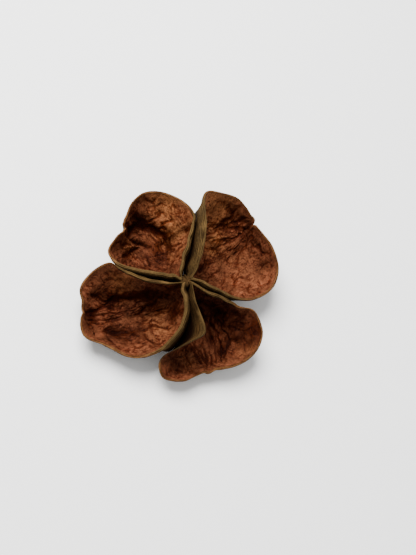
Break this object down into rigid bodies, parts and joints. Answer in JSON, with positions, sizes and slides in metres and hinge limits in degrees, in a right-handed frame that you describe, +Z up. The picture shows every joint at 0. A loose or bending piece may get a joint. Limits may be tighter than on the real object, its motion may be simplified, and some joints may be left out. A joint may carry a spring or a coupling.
{
  "type": "land lotus pod",
  "caption": "Dried woody seed pod lying open side up: open thin-walled shells grown together at a middle knot, for dried arrangements and crafts",
  "frame": {"origin": "middle of the footprint on the surface that the pod rests on", "axes": "+Z up out of the open shells, +Y towards the upper edge of the picture, +X towards its right edge"},
  "size_m": [0.0864, 0.0812, 0.0322],
  "materials": {
    "dry_pod_wood": "dry, wrinkled, slightly satin inside the shells"
  },
  "bodies": {
    "root": {"pod": "dry_pod_wood"}
  },
  "joints": []
}
